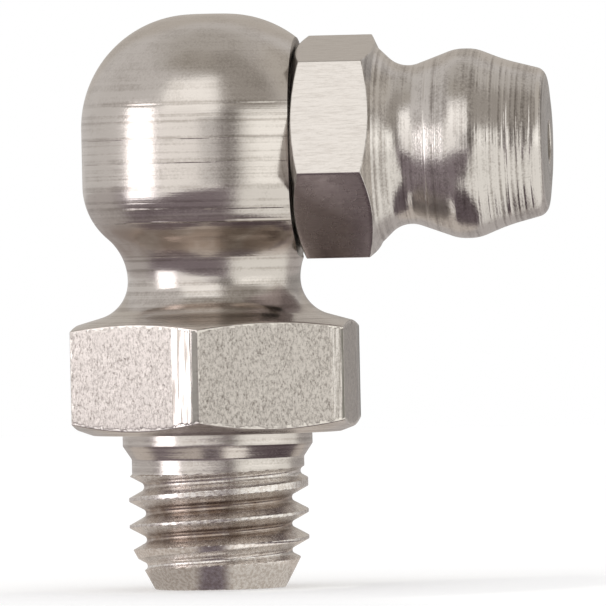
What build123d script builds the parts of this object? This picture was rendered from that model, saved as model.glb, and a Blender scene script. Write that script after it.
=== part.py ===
from build123d import *
import math
import os

# Right-angle grease nipple in turned stainless steel, in millimetres.
# The thread's axis is Z and the thread points down. The coupling head points along +X.
# The origin is on the thread's axis, in the plane of the hexagon's underside.

# Thread: quarter inch, 28 turns to the inch, right-hand
thread_length = 3.98
thread_crest_radius = 3.085
thread_pitch = 25.4 / 28
thread_first_groove = 1.36
groove_angle = 60.0
groove_root_width = 0.14
crest_flat_width = 0.10
runout_turns = 0.95
runout_past_first = 0.40
lead_depth = 0.845
thread_end_angle = 28.0

# Collar and plain shank between the hexagon and the thread
collar_past_crest = 0.18
collar_length = 0.39
collar_cone_length = 0.45
shank_below_crest = 0.12
shank_length = 0.51

# Spanner hexagon of the elbow, with flats square to the coupling head
hex_flats = 9.4
hex_turn_angle = 30.0
hex_corner_bottom = 0.42
hex_corner_length = 3.18
hex_bottom_angle = 20.0
hex_top_angle = 16.0

# Waist between the hexagon and the ball
waist_radius = 2.97
waist_lower_curve = 1.30
waist_upper_curve = 1.95

# Ball: a short straight band with a dome and a tiny flat crown above and a round shoulder below
ball_radius = 4.46
ball_shoulder_curve = 2.40
ball_band_length = 1.95
crown_flat_radius = 0.565

# Spot face on the ball that the coupling head is screwed down on
head_height_on_band = 1.205
spot_face_distance = 2.95
spot_face_radius = 3.80

# Passage up the thread, and the hole across the ball for the head's shank
passage_radius = 1.00
passage_mouth_chamfer = 0.20
cross_hole_past_passage = 0.40
drill_point_angle = 118.0
stem_fit_gap = 0.02

# Coupling head: stem, washer face, hexagon, neck, widest land and nose
stem_radius = 2.40
stem_length = 2.05
stem_end_chamfer = 0.25
washer_face_radius = 3.00
washer_face_height = 0.12
head_hex_flats = 6.94
head_hex_length = 2.59
head_hex_angle = 27.0
head_hex_turn_angle = 43.8
neck_radius = 2.71
neck_curve = 1.15
neck_distance = 1.18
neck_cone_angle = 20.4
coupler_radius = 3.25
coupler_land_length = 0.68
coupler_edge_curve = 0.80
nose_cone_length = 1.03
nose_cone_angle = 22.0
nose_end_length = 1.27
nose_end_angle = 15.0
tip_rise = 0.18
tip_flat_radius = 1.60
tip_edge_chamfer = 0.14

# What milling a hexagon clears beyond its corners, and the corner's distance for one across flats
milling_clearance = 1.0
corner_per_flats = 1 / math.sqrt(3)

# Valve inside the head: orifice, conical seat, ball, spring and the staked lip that holds it
orifice_radius = 0.75
orifice_length = 0.30
seat_half_angle = 45.0
check_ball_radius = 1.20
check_ball_side_gap = 0.15
seat_gap = 0.02
lip_length = 0.35
lip_radius = 0.75
spring_wire_radius = 0.14
spring_wire_sides = 6
spring_coil_radius = 0.95
spring_pitch = 1.37
spring_end_gap = 0.02

# Heights worked out from the sizes above, from the thread's end up to the ball's top
collar_radius = thread_crest_radius + collar_past_crest
shank_radius = thread_crest_radius - shank_below_crest
thread_end_radius = thread_crest_radius - lead_depth
thread_start = -(collar_length + collar_cone_length + shank_length)
thread_end = thread_start - thread_length
end_slope = math.tan(math.radians(thread_end_angle))
lead_start = thread_end + lead_depth / end_slope
flank_slope = math.tan(math.radians(groove_angle / 2))
groove_depth = (thread_pitch - crest_flat_width - groove_root_width) / 2 / flank_slope
groove_root_radius = thread_crest_radius - groove_depth
hex_corner_top = hex_corner_bottom + hex_corner_length
hex_corner_radius = hex_flats * corner_per_flats
top_slope = math.radians(hex_top_angle)
waist_foot_radius = waist_radius + waist_lower_curve * (1 - math.sin(top_slope))
waist_foot_height = hex_corner_top + (hex_corner_radius - waist_foot_radius) * math.tan(top_slope)
waist_height = waist_foot_height + waist_lower_curve * math.cos(top_slope)
curves_apart = ball_shoulder_curve + waist_upper_curve
curves_across = waist_radius + waist_upper_curve - (ball_radius - ball_shoulder_curve)
band_bottom = waist_height + math.sqrt(curves_apart**2 - curves_across**2)
band_top = band_bottom + ball_band_length
ball_dome_curve = ball_radius - crown_flat_radius
head_height = band_bottom + head_height_on_band

# Distances along the head, from the spot face out to the tip
washer_top = spot_face_distance + washer_face_height
head_hex_end = washer_top + head_hex_length
neck_place = head_hex_end + neck_distance
cone_slope = math.radians(neck_cone_angle)
neck_cone_start = neck_place + neck_curve * math.sin(cone_slope)
neck_cone_radius = neck_radius + neck_curve * (1 - math.cos(cone_slope))
land_start = neck_cone_start + (coupler_radius - neck_cone_radius) / math.tan(cone_slope)
land_end = land_start + coupler_land_length
nose_break = land_end + nose_cone_length
nose_break_radius = coupler_radius - nose_cone_length * math.tan(math.radians(nose_cone_angle))
nose_edge = nose_break + nose_end_length
nose_end_slope = math.tan(math.radians(nose_end_angle))
nose_edge_radius = nose_break_radius - nose_end_length * nose_end_slope
tip = nose_edge + tip_rise
tip_slope = tip_rise / (nose_edge_radius - tip_flat_radius)
stem_end = spot_face_distance - stem_length

# Valve places along the head
valve_bore_radius = check_ball_radius + check_ball_side_gap
seat_start = tip - orifice_length
seat_angle = math.radians(seat_half_angle)
seat_end = seat_start - (valve_bore_radius - orifice_radius) / math.tan(seat_angle)
ball_to_seat = (check_ball_radius + seat_gap) / math.cos(seat_angle) - orifice_radius
ball_place = seat_start - ball_to_seat / math.tan(seat_angle)
spring_back = stem_end + lip_length + spring_end_gap
spring_inside = spring_coil_radius - spring_wire_radius
spring_front = ball_place - math.sqrt(check_ball_radius**2 - spring_inside**2) - spring_end_gap


def around_z(outline):
    """Turns an outline drawn as radius and height about the thread's axis."""
    return revolve(make_face(outline), Axis.Z)


def along_head(outline):
    """Turns an outline drawn as radius and distance, and lays it along the coupling head."""
    return Pos(0, 0, head_height) * Rot(0, 90, 0) * around_z(outline)


def straight_through(points):
    """A closed outline of straight runs in the plane of radius and height."""
    corners = [(r, 0, h) for r, h in points]
    return Polyline(*corners, close=True)


def hex_waste(flats, reach, low, high, turn):
    """The ring of bar that milling six flats takes away between two heights."""
    ring = Pos(0, 0, low) * extrude(Circle(reach), high - low)
    nut = RegularPolygon(flats / 2, 6, major_radius=False, rotation=turn)
    return ring - Pos(0, 0, low) * extrude(nut, high - low)


def elbow_outline():
    """Half the turned section of the elbow, from the thread's end to the top of the dome."""
    crest_step = thread_crest_radius - shank_radius
    bottom_slope = math.tan(math.radians(hex_bottom_angle))
    seat_edge = hex_corner_radius - hex_corner_bottom / bottom_slope
    foot = Polyline(
        (0, 0, thread_end),
        (thread_end_radius, 0, thread_end),
        (thread_crest_radius, 0, lead_start),
        (thread_crest_radius, 0, thread_start - crest_step),
        (shank_radius, 0, thread_start),
        (shank_radius, 0, thread_start + shank_length),
        (collar_radius, 0, -collar_length),
        (collar_radius, 0, 0),
        (seat_edge, 0, 0),
        (hex_corner_radius, 0, hex_corner_bottom),
        (hex_corner_radius, 0, hex_corner_top),
        (waist_foot_radius, 0, waist_foot_height),
    )
    waist_centre = (waist_radius + waist_lower_curve, 0, waist_height)
    turn = 90 - hex_top_angle
    lower = around_point(waist_centre, waist_lower_curve, 180 + turn, 180)
    upper_centre = (waist_radius + waist_upper_curve, 0, waist_height)
    meeting = math.degrees(math.acos(curves_across / curves_apart))
    upper = around_point(upper_centre, waist_upper_curve, 180, 180 - meeting)
    shoulder_centre = (ball_radius - ball_shoulder_curve, 0, band_bottom)
    shoulder = around_point(shoulder_centre, ball_shoulder_curve, -meeting, 0)
    band = Line((ball_radius, 0, band_bottom), (ball_radius, 0, band_top))
    dome_centre = (crown_flat_radius, 0, band_top)
    dome = around_point(dome_centre, ball_dome_curve, 0, 90)
    crown_height = band_top + ball_dome_curve
    crown = Polyline(dome @ 1, (0, 0, crown_height), (0, 0, thread_end))
    return [foot, lower, upper, shoulder, band, dome, crown]


def around_point(centre, radius, start, end):
    """An arc in the plane of radius and height, between two angles in degrees."""
    angles = [math.radians(a) for a in (start, (start + end) / 2, end)]
    places = [
        (centre[0] + radius * math.cos(a), 0, centre[2] + radius * math.sin(a)) for a in angles
    ]
    return ThreePointArc(*places)


def groove_section(root):
    """A V with a narrow flat root, drawn in the plane of radius and height."""
    deep = groove_depth + crest_flat_width / 4 / flank_slope
    half_root = groove_root_width / 2
    half_mouth = half_root + deep * flank_slope
    flanks = Polyline(
        (root, 0, half_root),
        (root + deep, 0, half_mouth),
        (root + deep, 0, -half_mouth),
        (root, 0, -half_root),
        close=True,
    )
    return make_face(flanks)


def groove_run(start, end, start_radius, end_radius):
    """One stretch of the thread's groove along a tapering helix between two heights."""
    spin = 360 * (start + thread_first_groove) / thread_pitch
    taper = math.atan((end_radius - start_radius) / (end - start))
    lead = thread_pitch / math.cos(taper)
    path = Helix(lead, end - start, start_radius, cone_angle=math.degrees(taper))
    groove = sweep(groove_section(start_radius), path, is_frenet=True)
    return Pos(0, 0, start) * Rot(0, 0, spin) * groove


def thread_grooves():
    """The groove that leaves the thread, at most two turns to a piece, and its run-out."""
    runout_end = -thread_first_groove + runout_past_first * thread_pitch
    runout_start = runout_end - runout_turns * thread_pitch
    turns_below = math.ceil((-thread_first_groove - thread_end) / thread_pitch + 0.5)
    bottom = -thread_first_groove - turns_below * thread_pitch
    passes = math.ceil((runout_start - bottom) / (2 * thread_pitch))
    stops = [bottom + (runout_start - bottom) * n / passes for n in range(passes + 1)]
    grooves = [
        groove_run(low, high, groove_root_radius, groove_root_radius)
        for low, high in zip(stops, stops[1:])
    ]
    clear_of_shank = shank_radius + groove_root_width / 2
    grooves.append(groove_run(runout_start, runout_end, groove_root_radius, clear_of_shank))
    return grooves


def elbow_holes():
    """The passage up the thread and the blind hole across the ball, with its drill point."""
    passage = Pos(0, 0, thread_end) * extrude(Circle(passage_radius), head_height - thread_end)
    mouth = straight_through(
        [
            (0, thread_end),
            (passage_radius + passage_mouth_chamfer, thread_end),
            (passage_radius, thread_end + passage_mouth_chamfer),
            (0, thread_end + passage_mouth_chamfer),
        ]
    )
    hole_radius = stem_radius + stem_fit_gap
    hole_end = -(passage_radius + cross_hole_past_passage)
    point = hole_end - hole_radius / math.tan(math.radians(drill_point_angle / 2))
    cross = straight_through(
        [
            (0, point),
            (hole_radius, hole_end),
            (hole_radius, spot_face_distance),
            (0, spot_face_distance),
        ]
    )
    return [passage, around_z(mouth), along_head(cross)]


def make_elbow():
    """The elbow body: turned from hexagon bar, spot-faced, drilled and threaded."""
    body = around_z(elbow_outline())
    reach = hex_corner_radius + milling_clearance
    body -= hex_waste(hex_flats, reach, 0, waist_height, hex_turn_angle)
    cutter = extrude(Circle(spot_face_radius), ball_radius)
    body -= Pos(spot_face_distance, 0, head_height) * Rot(0, 90, 0) * cutter
    for hole in elbow_holes():
        body -= hole
    for groove in thread_grooves():
        body -= groove
    return body


def head_outline():
    """Half the turned section of the coupling head, from the stem's end to the tip."""
    corner = head_hex_flats * corner_per_flats
    chamfer = math.tan(math.radians(head_hex_angle))
    face_radius = head_hex_flats / 2
    chamfer_length = (corner - face_radius) * chamfer
    neck_centre = (neck_radius + neck_curve, 0, neck_place)
    neck_start = neck_centre[0] - face_radius
    start_angle = 180 + math.degrees(math.acos(neck_start / neck_curve))
    neck = around_point(neck_centre, neck_curve, start_angle, 180 - neck_cone_angle)
    back = Polyline(
        (0, 0, stem_end),
        (stem_radius - stem_end_chamfer, 0, stem_end),
        (stem_radius, 0, stem_end + stem_end_chamfer),
        (stem_radius, 0, spot_face_distance),
        (washer_face_radius, 0, spot_face_distance),
        (washer_face_radius, 0, washer_top),
        (face_radius, 0, washer_top),
        (corner, 0, washer_top + chamfer_length),
        (corner, 0, head_hex_end - chamfer_length),
        (face_radius, 0, head_hex_end),
        neck @ 0,
    )
    nose = FilletPolyline(
        neck @ 1,
        (coupler_radius, 0, land_start),
        (coupler_radius, 0, land_end),
        (nose_break_radius, 0, nose_break),
        radius=coupler_edge_curve,
    )
    edge = tip_edge_chamfer
    middle = Polyline(
        nose @ 1,
        (nose_edge_radius + edge * nose_end_slope, 0, nose_edge - edge),
        (nose_edge_radius - edge, 0, nose_edge + edge * tip_slope),
        (tip_flat_radius, 0, tip),
        (0, 0, tip),
        (0, 0, stem_end),
    )
    return [back, neck, nose, middle]


def valve_bore():
    """The hole through the head: lip, spring chamber, conical seat and orifice."""
    return straight_through(
        [
            (0, stem_end),
            (lip_radius, stem_end),
            (lip_radius, stem_end + lip_length),
            (valve_bore_radius, stem_end + lip_length),
            (valve_bore_radius, seat_end),
            (orifice_radius, seat_start),
            (orifice_radius, tip),
            (0, tip),
        ]
    )


def make_head():
    """The coupling head in one piece: stem, hexagon, neck and the nose that a coupler grips."""
    body = around_z(head_outline())
    reach = head_hex_flats * corner_per_flats + milling_clearance
    body -= hex_waste(head_hex_flats, reach, washer_top, head_hex_end, head_hex_turn_angle)
    body -= around_z(valve_bore())
    return Pos(0, 0, head_height) * Rot(0, 90, 0) * body


def make_check_ball():
    """The steel ball that closes the orifice from inside."""
    return Pos(ball_place, 0, head_height) * Sphere(check_ball_radius)


def make_spring():
    """The wire spring that holds the ball on its seat, ground flat at both ends.

    The wire is drawn with six sides, which keeps its many turns light."""
    length = spring_front - spring_back
    path = Helix(spring_pitch, length + 2 * spring_pitch, spring_coil_radius)
    wire = Rot(90, 0, 0) * RegularPolygon(spring_wire_radius, spring_wire_sides)
    start = Pos(spring_coil_radius, 0, 0) * wire
    coil = Pos(0, 0, -spring_pitch) * sweep(start, path, is_frenet=True)
    room = extrude(Circle(spring_coil_radius + 2 * spring_wire_radius), length)
    return Pos(spring_back, 0, head_height) * Rot(0, 90, 0) * (coil & room)


os.makedirs("parts", exist_ok=True)
export_step(make_elbow(), "parts/elbow_body.step")
export_step(make_head(), "parts/nipple_head.step")
export_step(make_check_ball(), "parts/check_ball.step")
export_step(make_spring(), "parts/valve_spring.step")

print("height", round(band_top + ball_dome_curve - thread_end, 3), "reach", round(tip, 3))
print("head height", round(head_height, 3), "waist height", round(waist_height, 3))
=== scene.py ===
# %% [markdown]
# # A right-angle grease nipple
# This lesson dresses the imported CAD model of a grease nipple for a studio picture.
# The real object is two turned pieces of stainless steel: an elbow with a thread, a hexagon and
# a ball, and a coupling head screwed onto the ball's flat. A small steel ball and a spring sit
# inside the head.
# The CAD solids already have the right shape. What they lack is what makes metal look real up
# close: softly broken edges, turning lines, the round root of the thread and the skin of drawn
# bar. So each piece is made again as a fine mesh from the same sizes, and replaces its CAD node.

import math

import bmesh
import bpy
import numpy as np
from mathutils import Matrix, Vector


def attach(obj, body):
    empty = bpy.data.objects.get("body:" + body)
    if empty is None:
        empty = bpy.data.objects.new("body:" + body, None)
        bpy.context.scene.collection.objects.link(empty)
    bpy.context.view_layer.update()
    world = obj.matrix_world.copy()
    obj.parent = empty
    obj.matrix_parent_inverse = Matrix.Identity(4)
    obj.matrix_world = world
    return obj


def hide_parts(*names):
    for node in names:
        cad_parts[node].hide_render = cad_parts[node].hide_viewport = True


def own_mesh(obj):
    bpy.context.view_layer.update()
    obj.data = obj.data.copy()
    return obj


MM = 0.001
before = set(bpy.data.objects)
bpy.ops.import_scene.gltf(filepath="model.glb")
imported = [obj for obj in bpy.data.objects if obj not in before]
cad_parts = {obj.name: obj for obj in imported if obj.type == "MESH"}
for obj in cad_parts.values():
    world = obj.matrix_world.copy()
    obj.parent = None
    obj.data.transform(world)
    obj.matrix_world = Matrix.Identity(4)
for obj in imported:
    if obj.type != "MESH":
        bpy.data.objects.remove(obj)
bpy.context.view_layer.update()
print("CAD nodes:", sorted(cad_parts))

# %% [markdown]
# ## Half a section, with every corner rounded
# Everything here is turned, so each piece can be drawn as half a section and spun. Blender's
# Screw modifier does that, but it can't follow a hexagon, whose section changes with the angle
# round the axis. A grid of points can: one column for each angle, and one row for each step
# along the section, worked out for all columns at once.
# A section is a list of corners: radius, place along the axis, rounding, steps round the
# corner, and steps on the run that leads to it. The same rounding draws the fine broken edges
# and the large curves, such as the dome.

# %% Rows of points from a list of corners
def section_rows(corners, columns):
    """One row of (radius, along) points, in mm, for each step along a section."""
    places = [
        np.stack([np.broadcast_to(np.asarray(value, float), columns) for value in corner[:2]], 1)
        for corner in corners
    ]
    rows = [places[0]]
    for number in range(1, len(corners) - 1):
        rounding, arc_steps, run_steps = corners[number][2:]
        entry, arc = corner_arc(*places[number - 1 : number + 2], rounding, arc_steps)
        rows += run(rows[-1], entry, run_steps) + arc
    return rows + run(rows[-1], places[-1], corners[-1][2])


def run(start, end, steps):
    """Evenly spaced rows from one place to the next, without the first."""
    return [start + (end - start) * step / steps for step in range(1, steps + 1)]


def unit(vectors):
    """The same directions with a length of one."""
    return vectors / np.linalg.norm(vectors, axis=1, keepdims=True)


def corner_arc(before, here, after, rounding, steps):
    """Where the rounding of a corner starts, and the rows round it."""
    if rounding == 0:
        return here, []
    way_in, way_out = unit(before - here), unit(after - here)
    half = np.arccos((way_in * way_out).sum(1))[:, None] / 2
    entry = here + way_in * rounding / np.tan(half)
    leave = here + way_out * rounding / np.tan(half)
    centre = here + unit(way_in + way_out) * rounding / np.sin(half)
    swing = math.pi - 2 * half
    arc = []
    for share in np.arange(1, steps + 1) / steps:
        near = (entry - centre) * np.sin(swing * (1 - share))
        far = (leave - centre) * np.sin(swing * share)
        arc.append(centre + (near + far) / np.sin(swing))
    return entry, arc


# %% [markdown]
# ## From rows to a mesh
# The rows are spun into a grid of quads, closed round the axis and along the section. Rows that
# lie on the axis shrink to one point, so their doubled points are merged. A mesh made this way
# is closed and even, which keeps long reflections smooth.
# Blender shades by vertex normals. Smooth shading with a limit of 35 degrees keeps the few
# edges that stay sharp, such as a drilled hole's.

# %% A spun mesh
SHARP = math.radians(35)


def spun_mesh(name, rows, angles, axis):
    """A closed mesh from section rows: about Z, or about X through the head's axis."""
    grid = np.array(rows)
    radius, along = grid[:, :, 0], grid[:, :, 1]
    across, up = radius * np.cos(np.radians(angles)), radius * np.sin(np.radians(angles))
    if axis == "Z":
        points = np.stack([across, up, along], axis=-1)
    else:
        points = np.stack([along, up, head_height - across], axis=-1)
    return grid_mesh(name, points)


def grid_mesh(name, points):
    """A mesh from a grid of points that closes in both directions."""
    count, columns = points.shape[:2]
    place = np.arange(count * columns).reshape(count, columns)
    up = np.roll(place, -1, axis=0)
    quads = np.stack([place, np.roll(place, -1, 1), np.roll(up, -1, 1), up], axis=-1)
    mesh = bpy.data.meshes.new(name)
    mesh.from_pydata((points.reshape(-1, 3) * MM).tolist(), [], quads.reshape(-1, 4).tolist())
    return tidy(mesh)


def tidy(mesh):
    """Merges doubled points, turns every face outwards and shades the mesh smooth."""
    work = bmesh.new()
    work.from_mesh(mesh)
    bmesh.ops.remove_doubles(work, verts=work.verts, dist=1e-7)
    loose = [edge for edge in work.edges if not edge.link_faces]
    bmesh.ops.delete(work, geom=loose, context="EDGES")
    bmesh.ops.recalc_face_normals(work, faces=work.faces)
    work.to_mesh(mesh)
    work.free()
    mesh.shade_smooth()
    mesh.set_sharp_from_angle(angle=SHARP)
    return mesh


def show(mesh):
    """An object for a mesh, in the scene."""
    piece = bpy.data.objects.new(mesh.name, mesh)
    bpy.context.scene.collection.objects.link(piece)
    print(mesh.name, "has", len(mesh.polygons), "faces")
    return piece

# %% [markdown]
# ## Columns that gather at a hexagon's corners
# A hexagon's corner is rounded by less than 0.1 mm, so columns spread evenly round the axis
# would miss it. The columns here lie close together at each of the six corners and further apart
# on the flats. The reach of the hexagon at an angle is the flat's distance over the cosine, and
# at a corner it is where a ray from the axis meets the small corner circle.

# %% Hexagon columns and reach
# Degrees from a corner to each column beside it, up to the middle of the flat
CORNER_OFFSETS = [0.08, 0.16, 0.25, 0.35, 0.6, 1.1, 2.0, 3.2, 4.6]
CORNER_OFFSETS += [6 + 1.5 * n for n in range(17)]


def corner_columns(first_corner):
    """Angles in degrees round the axis, gathered at the six corners."""
    offsets = [0] + CORNER_OFFSETS + [60 - offset for offset in CORNER_OFFSETS[-2::-1]]
    return np.array([first_corner + 60 * k + offset for k in range(6) for offset in offsets])


def hexagon_reach(angles, flats, first_corner, rounding):
    """Distance from the axis to a hexagon with rounded corners, at each angle."""
    from_corner = np.radians((angles - first_corner + 30) % 60 - 30)
    flat_reach = flats / 2 / np.cos(math.pi / 6 - np.abs(from_corner))
    centre = (flats / 2 - rounding) / math.cos(math.pi / 6)
    side = centre * np.sin(from_corner)
    arc_reach = centre * np.cos(from_corner) + np.sqrt(np.maximum(rounding**2 - side**2, 0))
    arc_end = math.atan2(rounding / 2, centre + rounding * math.cos(math.pi / 6))
    return np.where(np.abs(from_corner) < arc_end, arc_reach, flat_reach)


# %% [markdown]
# ## The elbow's hexagon, waist and ball
# On the real elbow this is one piece of hexagon bar. The lathe has turned away everything but
# the hexagon, and left a 16 degree cone above it and a 20 degree one below, which is why each
# flat ends in a curve.
# The waist is two hollow curves that flow into the ball. The ball isn't quite a sphere: it has a
# straight band between a round shoulder and a dome.
# Each curve is a corner of the section with a large rounding, so it leaves its neighbours
# smoothly. A subdivision surface would also be smooth, but it wouldn't hold these radii.

# %% Sizes of the elbow above its seat
passage_radius = 1.00
hex_flats, hex_corner_low, hex_corner_high = 9.4, 0.42, 3.60
hex_first_corner, hex_edge_round = 30, 0.05
hex_low_slope, hex_high_slope = math.radians(20), math.radians(16)
hex_corner = hex_flats / math.sqrt(3)
collar_radius = 3.265
waist_radius, waist_low_curve, waist_high_curve = 2.97, 1.30, 1.95
ball_radius, shoulder_curve, band_length, dome_curve = 4.46, 2.40, 1.95, 3.895
head_above_band = 1.205

seat_edge = hex_corner - hex_corner_low / math.tan(hex_low_slope)
cone_meets_waist = hex_corner_high + (hex_corner - waist_radius) * math.tan(hex_high_slope)
waist_height = cone_meets_waist + waist_low_curve * math.tan(math.pi / 4 - hex_high_slope / 2)
curves_apart = shoulder_curve + waist_high_curve
curves_across = waist_radius + waist_high_curve - (ball_radius - shoulder_curve)
curves_turn = math.acos(curves_across / curves_apart)
band_bottom = waist_height + curves_apart * math.sin(curves_turn)
band_top = band_bottom + band_length
crown = band_top + dome_curve
head_height = band_bottom + head_above_band
print("waist at", round(waist_height, 2), "mm, head at", round(head_height, 2), "mm")

# %% Its section, spun
elbow_angles = corner_columns(hex_first_corner)
hex_reach = hexagon_reach(elbow_angles, hex_flats, hex_first_corner, hex_edge_round)
hollow_corner = waist_height + waist_high_curve * math.tan(curves_turn / 2)
round_corner = band_bottom - shoulder_curve * math.tan(curves_turn / 2)
elbow_section = [
    (passage_radius, 0),
    (seat_edge, 0, 0.03, 2, 6),
    (hex_reach, (hex_reach - seat_edge) * math.tan(hex_low_slope), 0.04, 4, 8),
    (hex_reach, hex_corner_high + (hex_corner - hex_reach) * math.tan(hex_high_slope), 0.05, 4, 22),
    (waist_radius, cone_meets_waist, waist_low_curve, 26, 10),
    (waist_radius, hollow_corner, waist_high_curve, 22, 0),
    (ball_radius, round_corner, shoulder_curve, 22, 0),
    (ball_radius, crown, dome_curve, 48, 10),
    (0, crown, 0, 0, 3),
    (0, head_height, 0, 0, 2),
    (passage_radius, head_height, 0, 0, 2),
    (passage_radius, 0, 0, 0, 10),
]
ball_rows = section_rows(elbow_section, len(elbow_angles))[:-1]
elbow_ball = show(spun_mesh("elbow_ball", ball_rows, elbow_angles, "Z"))

# %% [markdown]
# ## The spot face and the cross hole
# An end mill has cut a flat across the ball for the coupling head to seat on, and a drill has
# gone on into the ball to meet the passage. Both cut across the turned shape, so they can't be
# part of its section. A Boolean does it the way the shop does: a tool is swept along the head's
# axis and taken away. The tool is itself a spun mesh, with a little rounding on the mill's
# corner. The cut faces get their finish later, from where they lie.

# %% Cut with a spun tool
spot_face, spot_face_radius = 3.00, 3.80
hole_radius, hole_end, drill_point_angle = 2.42, -1.40, 118
hole_point = hole_end - hole_radius / math.tan(math.radians(drill_point_angle / 2))
past_the_ball = 5.5
tool_angles = np.arange(0, 360, 2.5)
tool_section = [
    (0, hole_point),
    (hole_radius, hole_end, 0.05, 2, 2),
    (hole_radius, spot_face, 0, 0, 4),
    (spot_face_radius, spot_face, 0, 0, 3),
    (spot_face_radius, past_the_ball, 0, 0, 2),
    (0, past_the_ball, 0, 0, 1),
    (0, hole_point, 0, 0, 1),
]
tool_rows = section_rows(tool_section, len(tool_angles))[:-1]


def cut_away(piece, tool):
    """Takes the tool's shape out of a piece and deletes the tool."""
    cut = piece.modifiers.new("cut", "BOOLEAN")
    cut.operation, cut.solver, cut.object = "DIFFERENCE", "EXACT", tool
    graph = bpy.context.evaluated_depsgraph_get()
    piece.data = tidy(bpy.data.meshes.new_from_object(piece.evaluated_get(graph)))
    piece.modifiers.clear()
    bpy.data.objects.remove(tool)
    print(piece.name, "has", len(piece.data.polygons), "faces after the cut")


cut_away(elbow_ball, show(spun_mesh("tool", tool_rows, tool_angles, "X")))


# %% [markdown]
# ## The thread
# A quarter inch thread has 28 turns to the inch, so its pitch is 0.907 mm. It is right-hand: seen
# from outside, a groove climbs as it goes round anticlockwise from above.
# A screw modifier could sweep the V, but a real thread ends in two ways that a sweep can't
# draw: it fades out in the last turn where the die lifts away, and a lead cone cuts off its
# tips at the end. So the grid for the stem gets rows every 0.02 mm, and each point is pushed in
# to the groove's depth at its place. The lower of blank and groove wins, as in metal.

# %% Sizes of the stem
pitch = 25.4 / 28
first_groove = -1.36
crest_radius, crest_width = 3.085, 0.10
flank = math.radians(28.5)
root_round_at_end, root_round_at_shank = 0.13, 0.17
runout_turns, runout_end, runout_rise = 0.95, first_groove + 0.40 * pitch, 0.07
collar_length, shank_start, shank_end, thread_end = 0.39, -0.84, -1.35, -5.33
shank_radius, end_radius = 2.965, 2.24
lead_angle = math.radians(28)
lead_start = thread_end + (crest_radius - end_radius) / math.tan(lead_angle)
mouth_chamfer = 0.20

# %% The groove's depth at each point
def groove_floor(angles, heights):
    """The radius that the thread's groove leaves at each point of the stem."""
    turns = (heights - first_groove) / pitch - angles / 360
    aside = (turns - np.round(turns)) * pitch
    middle = heights - aside
    share = (middle - thread_end) / (first_groove - thread_end)
    root_round = root_round_at_end + (root_round_at_shank - root_round_at_end) * share
    apex = (pitch - crest_width) / 2 / math.tan(flank)
    deepest = apex - root_round * (1 / math.sin(flank) - 1)
    on_flank = apex - np.abs(aside) / math.tan(flank)
    in_root = deepest - root_round + np.sqrt(np.maximum(root_round**2 - aside**2, 0))
    depth = np.where(np.abs(aside) < root_round * math.cos(flank), in_root, on_flank)
    fade = np.clip((middle - runout_end) / (runout_turns * pitch) + 1, 0, 1)
    lift = fade * (shank_radius + runout_rise - (crest_radius - deepest))
    no_groove = crest_radius + 1
    return np.where(middle > runout_end, no_groove, crest_radius - depth + lift)


# %% The stem's section, spun and threaded
STEM_COLUMNS = 320
stem_angles = np.arange(STEM_COLUMNS) * 360 / STEM_COLUMNS
stem_section = [
    (passage_radius, 0),
    (collar_radius, 0, 0, 0, 1),
    (collar_radius, -collar_length, 0.04, 3, 5),
    (shank_radius, shank_start, 0.12, 4, 8),
    (shank_radius, shank_end, 0, 0, 24),
    (crest_radius, shank_end - (crest_radius - shank_radius), 0, 0, 7),
    (crest_radius, lead_start, 0.20, 6, 118),
    (end_radius, thread_end, 0.05, 4, 86),
    (passage_radius + mouth_chamfer, thread_end, 0.02, 2, 6),
    (passage_radius, thread_end + mouth_chamfer, 0.02, 2, 3),
    (passage_radius, 0, 0, 0, 10),
]
stem_rows = np.array(section_rows(stem_section, len(stem_angles))[:-1])
floor_radius = groove_floor(stem_angles[None, :], stem_rows[:, :, 1])
on_outside = stem_rows[:, :, 0] > passage_radius + mouth_chamfer + 0.1
below_collar = stem_rows[:, :, 1] < shank_start
threaded = on_outside & below_collar & (floor_radius < stem_rows[:, :, 0])
stem_rows[:, :, 0] = np.where(threaded, floor_radius, stem_rows[:, :, 0])
elbow_stem = show(spun_mesh("elbow_stem", stem_rows, stem_angles, "Z"))

# %% [markdown]
# ## The coupling head
# The head is the part that a grease coupler grips, and its sizes are the same on every nipple of
# this kind. It is turned from its own small hexagon bar: a washer face, the hexagon with both
# ends chamfered, a hollow neck, a cone up to the widest land, and a two-step nose.
# Inside are the spring's chamber, the ball's conical seat and the orifice. They show only
# through the two small holes, yet the section is closed through them, so the mesh is a real
# solid with a bore and not a shell.

# %% Sizes of the head, along its axis from the thread's axis
stem_end, stem_radius = 0.90, 2.40
washer_top, washer_radius = 3.07, 3.00
head_flats, head_hex_end, head_chamfer = 6.94, 5.78, math.tan(math.radians(25))
head_first_corner, head_edge_round, turned_radius = 43.8, 0.09, 3.42
neck_radius, neck_curve, neck_place = 2.72, 1.00, 6.86
entry_slope, cone_slope = math.radians(43), math.radians(20.4)
land_radius, land_start, land_end, land_curve = 3.25, 8.50, 9.18, 1.45
nose_break, nose_break_radius, nose_hollow = 10.21, 2.834, 6.0
nose_edge, nose_edge_radius = 11.55, 2.482
tip, tip_flat_radius = 11.659, 1.60
orifice_radius, seat_start, seat_end = 0.75, 11.359, 10.759
chamber_radius, chamber_start, lip_radius = 1.35, 1.25, 0.75

neck_reach = neck_curve * math.tan((entry_slope + cone_slope) / 2)
neck_leave = neck_place + neck_curve * math.sin(cone_slope)
neck_corner = neck_leave - neck_reach * math.cos(cone_slope)
neck_corner_radius = (
    neck_radius + neck_curve * (1 - math.cos(cone_slope)) - neck_reach * math.sin(cone_slope)
)
entry_radius = neck_corner_radius + (neck_corner - head_hex_end) * math.tan(entry_slope)
print("the neck's hollow starts at radius", round(entry_radius, 2), "mm")

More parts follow.
